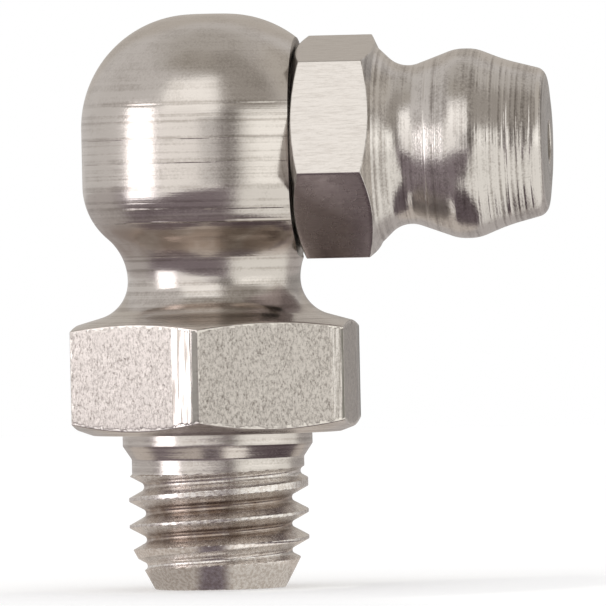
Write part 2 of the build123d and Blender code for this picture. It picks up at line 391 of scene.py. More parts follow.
# %% The head's section, spun
head_angles = corner_columns(head_first_corner)
head_reach = hexagon_reach(head_angles, head_flats, head_first_corner, head_edge_round)
chamfer_rise = (head_reach - turned_radius) * head_chamfer
head_section = [
    (lip_radius, stem_end),
    (stem_radius, stem_end, 0.25, 4, 4),
    (stem_radius, spot_face, 0, 0, 5),
    (washer_radius, spot_face, 0.03, 2, 2),
    (washer_radius, washer_top, 0.02, 2, 3),
    (turned_radius, washer_top, 0.02, 2, 4),
    (head_reach, washer_top + chamfer_rise, 0.04, 4, 6),
    (head_reach, head_hex_end - chamfer_rise, 0.04, 4, 20),
    (entry_radius, head_hex_end + (turned_radius - entry_radius) * head_chamfer, 0.10, 4, 6),
    (neck_corner_radius, neck_corner, neck_curve, 28, 8),
    (land_radius, land_start, land_curve, 16, 10),
    (land_radius, land_end, land_curve, 16, 2),
    (nose_break_radius, nose_break, nose_hollow, 8, 8),
    (nose_edge_radius, nose_edge, 0.40, 14, 12),
    (tip_flat_radius, tip, 0.30, 4, 5),
    (orifice_radius, tip, 0.05, 3, 5),
    (orifice_radius, seat_start, 0.02, 2, 3),
    (chamber_radius, seat_end, 0.05, 2, 5),
    (chamber_radius, chamber_start, 0.05, 2, 8),
    (lip_radius, chamber_start, 0.02, 2, 4),
    (lip_radius, stem_end, 0, 0, 3),
]
head_rows = section_rows(head_section, len(head_angles))[:-1]
coupling_head = show(spun_mesh("coupling_head", head_rows, head_angles, "X"))

# %% [markdown]
# ## The valve's ball and spring
# A bearing ball is ground round, so it is two quarter arcs, spun. The spring is coiled from
# drawn wire: its end turns lie close together and are ground flat, so that it pushes squarely.
# A curve with a bevel could draw the wire, but not the ground ends. Here rings of points follow
# the coil, and points that lie past an end plane are pressed back onto it.

# %% The ball
check_ball_radius, check_ball_place = 1.20, 10.384
VALVE_COLUMNS = 64
valve_angles = np.arange(VALVE_COLUMNS) * 360 / VALVE_COLUMNS
valve_section = [
    (0, check_ball_place - check_ball_radius),
    (check_ball_radius, check_ball_place - check_ball_radius, check_ball_radius, 18, 0),
    (check_ball_radius, check_ball_place + check_ball_radius, check_ball_radius, 18, 0),
    (0, check_ball_place + check_ball_radius, 0, 0, 0),
]
valve_rows = section_rows(valve_section, len(valve_angles))
valve_ball = show(spun_mesh("valve_ball", valve_rows, valve_angles, "X"))

# %% The spring
spring_back, spring_front = 1.27, 9.478
wire_radius, coil_radius = 0.14, 0.95
turns, steps_per_turn, ring_points = 8.0, 56, 16
ground_away, close_pitch = 0.09, 0.30
closed_turns, opening_turns = 0.8, 0.5

wound = np.linspace(0, turns, int(turns * steps_per_turn) + 1)
openness = np.clip((np.minimum(wound, turns - wound) - closed_turns) / opening_turns, 0, 1)
advance = np.concatenate([[0], np.cumsum((openness[1:] + openness[:-1]) / 2)])
room = spring_front - spring_back - 2 * (wire_radius - ground_away) - close_pitch * turns
coil_start = spring_back + wire_radius - ground_away
coil_along = coil_start + close_pitch * wound + room * advance / advance[-1]
coil_angle = 2 * math.pi * wound[:, None]
around_wire = (np.arange(ring_points) * 2 * math.pi / ring_points)[None, :]
from_axis = coil_radius + wire_radius * np.cos(around_wire)
wire_along = coil_along[:, None] + wire_radius * np.sin(around_wire)
wire_along = np.clip(wire_along, spring_back, spring_front)
wire_across, wire_down = from_axis * np.sin(coil_angle), from_axis * np.cos(coil_angle)
wire_points = np.stack([wire_along, wire_across, head_height - wire_down], axis=-1)


def wire_mesh(name, points):
    """A tube from rings of points, with a flat cap at each end."""
    rings, size = points.shape[:2]
    place = np.arange(rings * size).reshape(rings, size)
    ahead = np.roll(place, -1, axis=1)
    quads = np.stack([place[:-1], ahead[:-1], ahead[1:], place[1:]], axis=-1).reshape(-1, 4)
    faces = quads.tolist() + [place[0].tolist(), place[-1].tolist()]
    mesh = bpy.data.meshes.new(name)
    mesh.from_pydata((points.reshape(-1, 3) * MM).tolist(), [], faces)
    return tidy(mesh)


spring_wire = show(wire_mesh("spring_wire", wire_points))

# %% [markdown]
# ## Nodes and colours
# Materials are built with one helper that adds a node, sets its options and fills or links its
# sockets. Colours are written as the hex values one would pick on a screen. Blender computes
# with linear light, so one function turns them.

# %% A node helper and a colour helper
def add(tree, kind, sockets=None, **options):
    """Adds a shader node, sets its options, and fills or links its input sockets."""
    made = tree.nodes.new("ShaderNode" + kind)
    for name, value in options.items():
        setattr(made, name, value)
    for key, value in (sockets or {}).items():
        if isinstance(value, bpy.types.NodeSocket):
            tree.links.new(value, made.inputs[key])
        else:
            made.inputs[key].default_value = value
    return made


def linear(code):
    """A screen colour such as #C8C4BE as linear red, green, blue and full cover."""
    shares = [int(code[place : place + 2], 16) / 255 for place in (1, 3, 5)]
    light = [s / 12.92 if s <= 0.04045 else ((s + 0.055) / 1.055) ** 2.4 for s in shares]
    return (*light, 1.0)


def ramp(tree, factor, stops):
    """A colour ramp with (position, colour) stops."""
    made = add(tree, "ValToRGB", {"Fac": factor})
    elements = made.color_ramp.elements
    while len(elements) < len(stops):
        elements.new(0.5)
    for element, (position, colour) in zip(elements, stops):
        element.position, element.color = position, colour
    return made.outputs["Color"]


def blend(tree, share, first, second):
    """A colour between two."""
    made = add(tree, "Mix", {0: share}, data_type="RGBA")
    for socket, colour in ((6, first), (7, second)):
        if isinstance(colour, bpy.types.NodeSocket):
            tree.links.new(colour, made.inputs[socket])
        else:
            made.inputs[socket].default_value = colour
    return made.outputs[2]


def grey(level):
    """A plain grey of that linear level."""
    return (level, level, level, 1.0)


# %% [markdown]
# ## Turned stainless steel
# Stainless nipples are turned from bar and left as the tool left them. The tool moves a few
# hundredths of a millimetre for each turn, so the surface is covered in rings round the axis,
# each a few microns deep. They stretch a lamp's reflection and break it into streaks, and where
# two passes of the tool meet they leave a single clear ridge or groove.
# A picture of brushed metal could be wrapped round, but it would slip on the dome. Instead a
# noise is read at (distance from the axis, place along it), which is the same all the way round
# and so can only draw rings. Three sizes of ring are added as a bump. The real finest are
# smaller than the picture can show, so they are drawn 0.05 mm apart, and the shader's own
# anisotropy smears the light for the rest.
# The single ridges and grooves are listed, as their places along the axis and their
# heights, and a coarse noise breaks them here and there, as wear does.

# %% Noise, sums and the place on a turned piece
def waves(tree, place, size, detail=2.0, roughness=0.55):
    """A noise with a grain of that many mm, from nought to one."""
    sockets = {"Vector": place, "Scale": 1 / size, "Detail": detail, "Roughness": roughness}
    return add(tree, "TexNoise", sockets).outputs["Fac"]


def total(tree, parts, start=0.0):
    """The sum of (value, weight) pairs."""
    for value, weight in parts:
        sockets = {0: value, 1: weight, 2: start}
        start = add(tree, "Math", sockets, operation="MULTIPLY_ADD").outputs[0]
    return start


def scaled(tree, value, low, high, to_low, to_high):
    """A value moved from one range to another, held inside it."""
    limits = {"From Min": low, "From Max": high, "To Min": to_low, "To Max": to_high}
    return add(tree, "MapRange", {"Value": value, **limits}).outputs[0]


def window(tree, value, low, high, soft):
    """One between two limits and nought outside, with a soft step at each."""
    past = []
    for limit in (low, high):
        sockets = {0: value, 1: limit - soft, 2: limit + soft}
        past.append(add(tree, "MapRange", sockets, interpolation_type="SMOOTHSTEP").outputs[0])
    return add(tree, "Math", {0: past[0], 1: past[1]}, operation="SUBTRACT").outputs[0]


def product(tree, first, second):
    """Two values multiplied."""
    return add(tree, "Math", {0: first, 1: second}, operation="MULTIPLY").outputs[0]


def turned_place(tree, axis):
    """A point of a turned piece in mm: (distance from the axis, along it, 0), and as it is."""
    place = add(tree, "TexCoord").outputs["Object"]
    centre = (0, 0, 0) if axis == "Z" else (0, 0, head_height)
    to_mm = {0: place, 1: (1000, 1000, 1000)}
    in_mm = add(tree, "VectorMath", to_mm, operation="MULTIPLY").outputs[0]
    moved = add(tree, "VectorMath", {0: in_mm, 1: centre}, operation="SUBTRACT").outputs[0]
    parts = add(tree, "SeparateXYZ", {0: moved}).outputs
    along, side_a, side_b = (parts[2], parts[0], parts[1]) if axis == "Z" else parts[:3]
    across = add(tree, "CombineXYZ", {0: side_a, 1: side_b}).outputs[0]
    distance = add(tree, "VectorMath", {0: across}, operation="LENGTH").outputs["Value"]
    flat = add(tree, "CombineXYZ", {0: distance, 1: along}).outputs[0]
    return flat, moved, along


def metal(name):
    """An empty metal material: its node tree and its shader."""
    made = bpy.data.materials.new(name)
    made.use_nodes = True
    shader = made.node_tree.nodes["Principled BSDF"]
    shader.inputs["Metallic"].default_value = 1.0
    return made, made.node_tree, shader


# %% The turned finish
# The picture is that many pixels wide, and shows the nipple with that many to a mm
PICTURE_PIXELS, PIXELS_PER_MM = 606, 29.12
# Sizes in mm: three rings, patches of deeper turning, specks, breaks in a line, and blotches
RINGS = (0.05, 0.15, 0.55)
PATCH, SPECK, BREAK, BLOTCH = 1.6, 0.08, 1.1, 0.9
LINE_WIDTH, DEEPEST_LINE = 0.045, 0.03
# Soft edge and patch size in mm of the brownish painted shade under the ball
SHADE_EDGE, SHADE_PATCH = 0.35, 1.0


def tool_lines(tree, along, lines):
    """Single ridges and grooves round the axis: their heights in mm at (place, height) pairs."""
    low, high = lines[0][0] - 1, lines[-1][0] + 1
    stops = []
    for place, rise in lines:
        peak = rise / DEEPEST_LINE
        for offset, share in ((-LINE_WIDTH, 0), (-LINE_WIDTH / 4, peak), (LINE_WIDTH, 0)):
            stops.append(((place + offset - low) / (high - low), grey(0.5 + share / 2)))
    level = ramp(tree, scaled(tree, along, low, high, 0, 1), stops)
    return total(tree, [(level, 2 * DEEPEST_LINE)], -DEEPEST_LINE)


def turned_surface(name, axis, roughness, stretch, depth, lines=(), calm=None):
    """Steel with the rings that a lathe leaves, round Z or round the head's axis, before it has
    a colour. The rings calm down between two places, to a share of their depth."""
    made, tree, shader = metal(name)
    flat, place, along = turned_place(tree, axis)
    fine, middle, broad = (waves(tree, flat, size) for size in RINGS)
    rings = total(tree, [(fine, 0.18), (middle, 0.75), (broad, 0.9)], -0.92)
    patchy = scaled(tree, waves(tree, place, PATCH), 0.35, 0.65, 0.35, 1.25)
    if calm:
        start, end, share = calm
        patchy = product(tree, patchy, scaled(tree, along, start, end, 1.0, share))
    grain = waves(tree, place, SPECK)
    height = total(tree, [(product(tree, rings, patchy), depth), (grain, 0.22 * depth)])
    if lines:
        broken = scaled(tree, waves(tree, place, BREAK), 0.38, 0.56, 0.25, 1.0)
        line_height = product(tree, tool_lines(tree, along, lines), broken)
        height = total(tree, [(line_height, 1.0), (height, 1.0)])
    bump = add(tree, "Bump", {"Height": height, "Distance": MM, "Strength": 1.0})
    tangent = add(tree, "Tangent", direction_type="RADIAL", axis=axis)
    dull = total(tree, [(fine, 0.6), (grain, 0.4)])
    dull = scaled(tree, dull, 0.3, 0.7, roughness - 0.05, roughness + 0.07)
    shader.inputs["Anisotropic"].default_value = stretch
    tree.links.new(dull, shader.inputs["Roughness"])
    tree.links.new(bump.outputs[0], shader.inputs["Normal"])
    tree.links.new(tangent.outputs[0], shader.inputs["Tangent"])
    raised = product(tree, total(tree, [(middle, 1.0)], -0.5), patchy)
    worn = [(raised, 0.75), (grain, 0.2), (waves(tree, place, BLOTCH), 0.2)]
    return made, place, along, total(tree, worn, 0.3)


def turned_steel(name, axis, colour, shadow_colour, *surface, painted_shade=None, **more):
    """Turned steel, darker where the rings lie low. A painted shade can lie between two places."""
    made, place, along, worn = turned_surface(name, axis, *surface, **more)
    tree = made.node_tree
    tint = ramp(tree, worn, [(0.38, linear(shadow_colour)), (0.52, linear(colour))])
    # Painted shade: a colour blended in between two places along the axis, in patches.
    if painted_shade:
        start, end, shade_colour = painted_shade
        patches = scaled(tree, waves(tree, place, SHADE_PATCH), 0.3, 0.55, 0.5, 1)
        cover = product(tree, window(tree, along, start, end, SHADE_EDGE), patches)
        tint = blend(tree, cover, tint, linear(shade_colour))
    tree.links.new(tint, tree.nodes["Principled BSDF"].inputs["Base Color"])
    return made


ball_lines = [
    (4.62, 0.004), (6.05, -0.006), (7.28, 0.026), (7.72, 0.012), (9.31, 0.007), (10.12, 0.007),
    (11.27, -0.005),
]
head_lines = [
    (6.2, -0.004), (7.6, -0.006), (9.4, -0.009), (9.76, 0.008), (9.93, -0.007),
    (10.3, -0.012), (10.43, 0.010), (10.76, 0.009), (10.92, -0.011), (11.16, -0.009),
]
# The ball's finish has a brownish painted shade on the curve under its shoulder, 6.15 to 7.2 mm up.
ball_finish = turned_steel(
    "turned stainless steel, ball", "Z", "#D5D0CB", "#B5AFA9", 0.18, 0.5, 0.0085,
    lines=ball_lines, calm=(11.2, 12.0, 0.2), painted_shade=(6.15, 7.2, "#A5978D"),
)
head_finish = turned_steel(
    "turned stainless steel, head", "X", "#DBD7D3", "#9C9691", 0.18, 0.5, 0.0190,
    lines=head_lines, calm=(9.5, 8.9, 0.55),
)
spot_finish = turned_steel(
    "milled stainless steel, spot face", "X", "#BDB9B4", "#8F8983", 0.34, 0.3, 0.006
)
print("a pixel is", round(1 / PIXELS_PER_MM, 3), "mm wide, the finest ring", RINGS[0], "mm")

# %% [markdown]
# ## Drawn hexagon bar
# The flats of both hexagons aren't machined at all. They are the skin of the bar as it was drawn
# through a die: a dull surface with a dense fine grain, a tenth of a millimetre across, and
# shallow pits. On the small hexagon the grain is long marks along the bar, and the flats that
# look downwards are painted darker, as painted shade.
# On the elbow the spanner has rubbed each flat bright beside one corner, in streaks along the
# axis, hardest at every second corner. The corner itself stays dull, with a painted dark
# reflection on it. A thin burr runs along the flats' other edges, with a painted highlight on it.
# The grain and the pits only tilt the light, so they belong in the bump and the colour and not
# in the mesh. The rubbed band needs the distance from a corner, which comes from the angle
# round the axis: a sixth of a turn at a time, then its tangent. The burr and its painted
# highlight need the distance from the cones above and below, which comes from their slopes.

# %% Where a point lies on a flat
LIGHTEST_RUB = 0.46


def from_corner(tree, place):
    """Distance in mm along a flat of the elbow's hexagon from its right-hand corner, and how
    hard the spanner rubbed there: it bore on every second corner."""
    x, y, _ = add(tree, "SeparateXYZ", {0: place}).outputs
    turn = add(tree, "Math", {0: y, 1: x}, operation="ARCTAN2").outputs[0]
    sixth = total(tree, [(turn, 3 / math.pi)], 0.5)
    share = add(tree, "Math", {0: sixth}, operation="FRACT").outputs[0]
    swing = total(tree, [(share, math.pi / 3)], -math.pi / 6)
    side = add(tree, "Math", {0: swing}, operation="TANGENT").outputs[0]
    three_turns = total(tree, [(turn, 3)], 1.5 * math.pi)
    wave = add(tree, "Math", {0: three_turns}, operation="COSINE").outputs[0]
    return (
        total(tree, [(side, -hex_flats / 2)], hex_flats / 2 * math.tan(math.pi / 6)),
        total(tree, [(wave, (1 - LIGHTEST_RUB) / 2)], (1 + LIGHTEST_RUB) / 2),
    )


def from_end(tree, flat, along):
    """Distance in mm of a point on the elbow's flats from the cone above or below, the nearer."""
    reach = add(tree, "SeparateXYZ", {0: flat}).outputs[0]
    high, low = math.tan(hex_high_slope), math.tan(hex_low_slope)
    down = total(tree, [(reach, -high), (along, -1)], hex_corner_high + hex_corner * high)
    up = total(tree, [(reach, -low), (along, 1)], seat_edge * low)
    return add(tree, "Math", {0: down, 1: up}, operation="MINIMUM").outputs[0]


# %% Rubbed bands and burrs
# Widths in mm of the band, of its painted dark corner, of a streak and of the painted-bright burr
RUBBED_WIDTH, DARK_CORNER_WIDTH, STREAK, BURR_GLINT_WIDTH = 1.20, 0.30, 0.11, 0.07
RUBBED_ROUGHNESS, STREAK_LENGTHS = 0.16, 20


def rubbed_and_edge_painted(tree, flat, place, along, tint, dull, height):
    """The colour, roughness and height of a flat, with its rubbed band, a painted dark reflection
    at the corner, and its burr with a painted highlight.
    """
    side, rub = from_corner(tree, place)
    stretched = total(tree, [(along, 1 / STREAK_LENGTHS)])
    streak_place = add(tree, "CombineXYZ", {0: side, 1: stretched}).outputs[0]
    streaks = waves(tree, streak_place, STREAK, 3.0)
    ragged = total(tree, [(streaks, 0.16)], side)
    ragged = add(tree, "Math", {0: ragged, 1: rub}, operation="DIVIDE").outputs[0]
    edge = scaled(tree, ragged, RUBBED_WIDTH, RUBBED_WIDTH + 0.10, 1.0, 0.0)
    # Painted dark reflection: a narrow dark band along the corner.
    painted_dark_corner = scaled(tree, ragged, DARK_CORNER_WIDTH, DARK_CORNER_WIDTH + 0.12, 1.0, 0.0)
    edge = add(tree, "Math", {0: edge, 1: painted_dark_corner}, operation="SUBTRACT").outputs[0]
    edge = product(tree, edge, rub)
    bright = ramp(tree, streaks, [(0.42, linear("#8E8983")), (0.56, linear("#E6E2DE"))])
    tint = blend(tree, edge, blend(tree, painted_dark_corner, tint, linear("#7F7D77")), bright)
    smooth = total(tree, [(height, 0.16), (streaks, 0.5)])
    height = add(tree, "Mix", {0: edge, 2: height, 3: smooth}, data_type="FLOAT").outputs[0]
    dull = add(tree, "Mix", {0: edge, 2: dull, 3: RUBBED_ROUGHNESS}, data_type="FLOAT").outputs[0]
    wavy = total(tree, [(waves(tree, place, 0.16, 1.0), -0.34)], 0.17)
    left = total(tree, [(side, -1)], hex_corner + 0.02)
    sockets = {0: from_end(tree, flat, along), 1: left}
    near = add(tree, "Math", sockets, operation="MINIMUM").outputs[0]
    near = total(tree, [(near, 1)], wavy)
    # The burr: a small step down in the bump, and a painted highlight in the colour.
    burr_and_glint = scaled(tree, near, BURR_GLINT_WIDTH - 0.02, BURR_GLINT_WIDTH + 0.04, 1.0, 0.0)
    tint = blend(tree, burr_and_glint, tint, linear("#EDE9E3"))
    return tint, dull, total(tree, [(burr_and_glint, -0.8)], height)


# %% The skin of drawn bar
# Sizes in mm of the grain, of the mottling and from pit to pit, and how the grain is squeezed
GRAIN, MOTTLE, PIT = 0.085, 0.5, 0.42
DRAWN = {"Z": (1, 1, 0.6), "X": (0.12, 1, 1)}


def drawn_steel(name, axis, colour, shadow_colour, roughness, depth, rub_and_edge_paint=False):
    """The skin of drawn bar: a dense grain and small pits, to that depth in mm."""
    made, tree, shader = metal(name)
    flat, place, along = turned_place(tree, axis)
    drawn = add(tree, "VectorMath", {0: place, 1: DRAWN[axis]}, operation="MULTIPLY").outputs[0]
    grain, mottle = waves(tree, drawn, GRAIN, 6.0, 0.85), waves(tree, place, MOTTLE, 3.0)
    cells = add(tree, "TexVoronoi", {"Vector": place, "Scale": 1 / PIT}).outputs["Distance"]
    pits = scaled(tree, cells, 0.04, 0.15, 0.0, 1.0)
    height = total(tree, [(grain, 1.0), (mottle, 0.7), (pits, 0.8)])
    dark = total(tree, [(grain, 0.85), (mottle, 0.1), (pits, 0.05)])
    tint = ramp(tree, dark, [(0.40, linear(shadow_colour)), (0.56, linear(colour))])
    dull = scaled(tree, mottle, 0.3, 0.7, roughness - 0.05, roughness + 0.06)
    # Spanner wear, with a painted dark reflection at each corner and a painted highlight on the
    # burr.
    if rub_and_edge_paint:
        tint, dull, height = rubbed_and_edge_painted(tree, flat, place, along, tint, dull, height)
    bump = add(tree, "Bump", {"Height": height, "Distance": depth * MM, "Strength": 1.0})
    tree.links.new(tint, shader.inputs["Base Color"])
    tree.links.new(dull, shader.inputs["Roughness"])
    tree.links.new(bump.outputs[0], shader.inputs["Normal"])
    return made


elbow_flat_finish = drawn_steel(
    "drawn stainless steel, elbow hexagon", "Z", "#D2CDC8", "#78716B", 0.33, 0.010,
    rub_and_edge_paint=True,
)
head_flat_finish = drawn_steel(
    "drawn stainless steel, head hexagon", "X", "#D6D2CE", "#C2BDB8", 0.20, 0.0012
)
# Painted shade: the head's flats that look downwards get a darker, pinker copy of the drawn steel.
shaded_underside_finish = drawn_steel(
    "drawn steel with painted shade, underside of the head", "X", "#AFA4A4", "#9E9393", 0.26, 0.0012
)

# %% [markdown]
# ## The thread, the drilled holes and the valve
# A thread cut by a die is bright on its crests, and its colour goes from brown in the roots to
# steel with the distance from the axis. The lead cone is cut after it, so the brown's place is
# lifted there. A drilled hole is darker and rougher than turned work. The valve's ball is ground
# and polished, with no lines at all, and the spring is drawn wire.

# %% The thread's steel and the plain finishes
# In mm: the brown's ragged edge, the steel's speckle, and the radii between which the brown thins
BROWN_RAGGED, SPECKLE = 0.35, 0.1
BROWN_TO, STEEL_FROM = 2.62, 2.92


def threaded_steel(name):
    """Die-cut steel: rings, and a brownish colour in the roots that turns to steel towards the
    crests.
    """
    made = turned_surface(name, "Z", 0.25, 0.2, 0.008)[0]
    tree = made.node_tree
    flat, place, along = turned_place(tree, "Z")
    distance = add(tree, "SeparateXYZ", {0: flat}).outputs[0]
    lifted = scaled(tree, along, thread_end, lead_start, crest_radius - end_radius, 0)
    ragged = waves(tree, place, BROWN_RAGGED, 3.0)
    reach = total(tree, [(ragged, 0.30), (lifted, 1.0)], distance)
    steel_share = scaled(tree, reach, BROWN_TO, STEEL_FROM, 0.0, 1.0)
    speckle = waves(tree, place, SPECKLE)
    steel = ramp(tree, speckle, [(0.40, linear("#D3CCC6")), (0.58, linear("#EFECE9"))])
    tint = blend(tree, steel_share, linear("#9C8C80"), steel)
    tree.links.new(tint, tree.nodes["Principled BSDF"].inputs["Base Color"])
    return made


def plain_steel(name, colour, roughness, grain, depth):
    """Steel with an even finish: a noise of that grain in mm, and its depth in mm."""
    made, tree, shader = metal(name)
    _, place, _ = turned_place(tree, "Z")
    bump = add(tree, "Bump", {"Height": waves(tree, place, grain, 3.0), "Distance": depth * MM})
    shader.inputs["Base Color"].default_value = linear(colour)
    shader.inputs["Roughness"].default_value = roughness
    tree.links.new(bump.outputs[0], shader.inputs["Normal"])
    return made


thread_finish = threaded_steel("die-cut stainless steel, thread")
bore_finish = plain_steel("drilled stainless steel, bores", "#A29C95", 0.42, 0.15, 0.004)
polish_finish = plain_steel("polished bearing steel", "#D2D2D2", 0.06, 0.8, 0.0001)
wire_finish = plain_steel("drawn spring wire", "#B9B6B2", 0.28, 0.05, 0.001)

# %% [markdown]
# ## Which face gets which finish
# The real pieces change their finish from place to place, so a finish is given face by face.
# Every finish can be told from where a face is and which way it looks: a hexagon's flats look
# straight out from the axis at the hexagon's height, and a bore lies nearer to the axis than
# anything else there.

# %% Finishes by place
# How far in mm a face may lie from where it belongs, and limits for the slope of its normal
FLUSH, NEAR = 0.01, 0.02
ACROSS, STRAIGHT, DOWNWARDS = 0.05, 0.99, -0.3


def faces_of(piece):
    """Centres in mm and normals of a piece's faces."""
    mesh = piece.data
    values = np.empty((2, len(mesh.polygons) * 3))
    mesh.polygons.foreach_get("center", values[0])
    mesh.polygons.foreach_get("normal", values[1])
    centres, normals = values.reshape(2, -1, 3)
    return centres / MM, normals


def finish_faces(piece, finishes, numbers):
    """Gives a piece its finishes, and each face the number of its own."""
    piece.data.materials.clear()
    for finish in finishes:
        piece.data.materials.append(finish)
    piece.data.polygons.foreach_set("material_index", numbers.astype(np.int32))
    piece.data.update()
    print(piece.name, "finishes:", np.bincount(numbers).tolist())


# %% The elbow's finishes
centres, normals = faces_of(elbow_ball)
from_z = np.hypot(centres[:, 0], centres[:, 1])
at_hexagon = (centres[:, 2] > 0) & (centres[:, 2] < waist_height) & (from_z > ball_radius)
flats = at_hexagon & (np.abs(normals[:, 2]) < ACROSS)
spot = (np.abs(centres[:, 0] - spot_face) < FLUSH) & (normals[:, 0] > STRAIGHT)
from_head_axis = np.hypot(centres[:, 1], centres[:, 2] - head_height)
in_hole = (from_head_axis < hole_radius + NEAR) & (np.abs(centres[:, 0]) < spot_face - FLUSH)
in_passage = (from_z < passage_radius + NEAR) & (centres[:, 2] < head_height + hole_radius)
finish_faces(
    elbow_ball,
    [ball_finish, elbow_flat_finish, spot_finish, bore_finish],
    np.select([spot, flats, in_hole | in_passage], [2, 1, 3], 0),
)

centres, _ = faces_of(elbow_stem)
from_z = np.hypot(centres[:, 0], centres[:, 1])
finish_faces(
    elbow_stem,
    [ball_finish, thread_finish, bore_finish],
    np.select([from_z < passage_radius + NEAR, centres[:, 2] < shank_end + NEAR], [2, 1], 0),
)

# %% The head's finishes
washer_side = 3.6
centres, normals = faces_of(coupling_head)
from_head_axis = np.hypot(centres[:, 1], centres[:, 2] - head_height)
flats = (from_head_axis > turned_radius + 0.03) & (np.abs(normals[:, 0]) < ACROSS)
flats &= centres[:, 0] < head_hex_end
# The flats that look downwards take the copy with painted shade.
underside = flats & (normals[:, 2] < DOWNWARDS)
bore = (from_head_axis < chamber_radius + NEAR) & (centres[:, 0] < tip - 0.05)
back = centres[:, 0] < washer_side
finish_faces(
    coupling_head,
    [head_finish, head_flat_finish, bore_finish, shaded_underside_finish, spot_finish],
    np.select([underside, flats, bore, back], [3, 1, 2, 4], 0),
)

for piece, finish in ((valve_ball, polish_finish), (spring_wire, wire_finish)):
    finish_faces(piece, [finish], np.zeros(len(piece.data.polygons), int))

# %% [markdown]
# ## Tying the pieces to the moving bodies
# Each piece names the CAD body it moves with and the CAD node it stands for. The spring moves
# with the fitting.

# %% Bodies, nodes and slots
for piece, body, node, slot in [
    (elbow_stem, "fitting", "elbow_body", "elbow_steel"),
    (elbow_ball, "fitting", "elbow_body", "elbow_steel"),
    (coupling_head, "fitting", "nipple_head", "head_steel"),
    (valve_ball, "ball", "check_ball", "ball_steel"),
    (spring_wire, "fitting", "valve_spring", "spring_steel"),
]:
    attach(piece, body)
    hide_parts(node)
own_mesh(spring_wire)

# %% [markdown]
# ## The studio
# Metal shows its surroundings and almost nothing else, so the studio is what makes it look real.
# This nipple stood in a small light tent: a round screen of dull cloth with bright and dark
# panels on it, whose shapes can be read from the ball, because it mirrors the whole room.
# Lamps alone could light the metal, but its dark parts are as telling as its bright ones. So the
# tent is one large shell that only reflections see, with the panels painted on it by direction:
# degrees to the right of the camera, and degrees up.
# A brighter softbox hangs at the left, and it is a real area lamp.

# %% Directions from the object
# The camera, in degrees right of square and above level, and distances in metres
VIEW_AZIMUTH, VIEW_ELEVATION, VIEW_DISTANCE = 6.07, 0.3, 0.35
TENT_RADIUS = 0.25
focus = Vector((3.053, 0, 4.409)) * MM


def towards(azimuth, elevation):
    """The direction at that many degrees right of the camera and above level."""
    a, e = math.radians(VIEW_AZIMUTH + azimuth), math.radians(elevation)
    return Vector((math.sin(a) * math.cos(e), -math.cos(a) * math.cos(e), math.sin(e)))


def softbox(name, azimuths, elevations, distance, radiance, colour):
    """An area lamp at that distance in metres, which fills those angles seen from the object."""
    middle = [(low + high) / 2 for low, high in (azimuths, elevations)]
    half = [math.radians(high - low) / 2 for low, high in (azimuths, elevations)]
    lamp = bpy.data.lights.new(name, "AREA")
    lamp.shape = "RECTANGLE"
    lamp.size, lamp.size_y = (2 * distance * math.tan(angle) for angle in half)
    lamp.energy = radiance * math.pi * lamp.size * lamp.size_y
    lamp.color = linear(colour)[:3]
    light = bpy.data.objects.new(name, lamp)
    light.location = focus + towards(*middle) * distance
    light.rotation_euler = towards(*middle).to_track_quat("Z", "Y").to_euler()
    light.visible_camera = False
    bpy.context.scene.collection.objects.link(light)
    print(name, "is", round(lamp.size, 3), "by", round(lamp.size_y, 3), "m")


SOFTBOX_COLOUR, SOFTBOX_LEVEL = "#FFFAFC", 2.15
softbox("left softbox", (-79, -53), (-17, 19), 0.20, SOFTBOX_LEVEL, SOFTBOX_COLOUR)


# %% Cloth and card, painted by direction
def paint(tree, under, turn, level, turns, levels, colour, strength, soft, slant=0.0):
    """Paints a panel over what is there, between two turns and two levels, with edges that soft.
    Slant is how far it climbs for each degree to the right."""
    slanted = total(tree, [(turn, -slant)], level)
    across, up = window(tree, turn, *turns, soft[0]), window(tree, slanted, *levels, soft[1])
    shade = (*(value * strength for value in linear(colour)[:3]), 1.0)
    return blend(tree, product(tree, across, up), under, shade)


def painted(name, base, panels, on_floor):
    """Glowing cloth with panels. In the air they lie by (azimuth, elevation) in degrees, and on
    the floor by (azimuth, distance in mm)."""
    made = bpy.data.materials.new(name)
    made.use_nodes = True
    made.cycles.emission_sampling = "NONE"
    tree = made.node_tree
    tree.nodes.remove(tree.nodes["Principled BSDF"])
    place = add(tree, "TexCoord").outputs["Object"]
    way = add(tree, "VectorMath", {0: place}, operation="NORMALIZE").outputs[0]
    x, y, z = add(tree, "SeparateXYZ", {0: way}).outputs
    ahead = total(tree, [(y, -1)])
    turn = add(tree, "Math", {0: x, 1: ahead}, operation="ARCTAN2").outputs[0]
    if on_floor:
        away = add(tree, "VectorMath", {0: place}, operation="LENGTH").outputs["Value"]
        level = total(tree, [(away, 1 / MM)])
    else:
        climb = add(tree, "Math", {0: z}, operation="ARCSINE").outputs[0]
        level = total(tree, [(climb, 180 / math.pi)])
    turn = total(tree, [(turn, 180 / math.pi)])
    seen = linear(base)
    for panel in panels:
        seen = paint(tree, seen, turn, level, *panel)
    glow = add(tree, "Emission", {"Color": seen, "Strength": 1.0})
    tree.links.new(glow.outputs[0], tree.nodes["Material Output"].inputs["Surface"])
    print(name, "has", len(panels), "panels")
    return made


